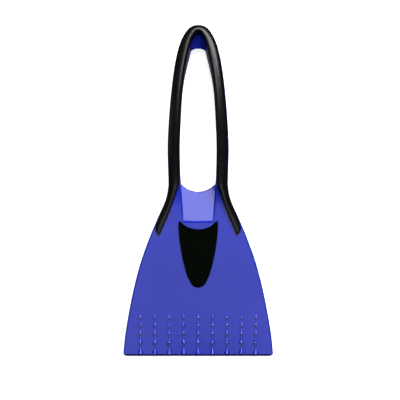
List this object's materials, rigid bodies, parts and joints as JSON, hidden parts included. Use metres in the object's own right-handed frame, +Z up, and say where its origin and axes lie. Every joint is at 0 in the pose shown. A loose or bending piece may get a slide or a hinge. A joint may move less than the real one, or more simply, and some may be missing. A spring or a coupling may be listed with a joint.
{
  "type": "windshield ice scraper",
  "caption": "Hand ice scraper: a flared, toothed hard plastic blade runs into a bowed finger loop with a soft grip round its front and a soft thumb pad in the blade.",
  "frame": {"origin": "middle of the bounding box's base, on the surface that the scraper lies on", "axes": "+Z up out of the toothed face, +Y from the scraping edge to the end of the loop, +X across the blade to the right of a person who looks down with the loop pointing away. The plane X = 0 is the mirror plane between the two halves; the part has no axis of rotation"},
  "size_m": [0.1104, 0.2427, 0.03],
  "materials": {
    "blue_plastic": "semi-gloss injection-moulded blue plastic",
    "grip_rubber": "satin black soft-touch elastomer",
    "pad_rubber": "matte black soft-touch elastomer"
  },
  "bodies": {
    "root": {"scraper_body": "blue_plastic", "loop_grip": "grip_rubber", "thumb_pad": "pad_rubber"}
  },
  "joints": []
}
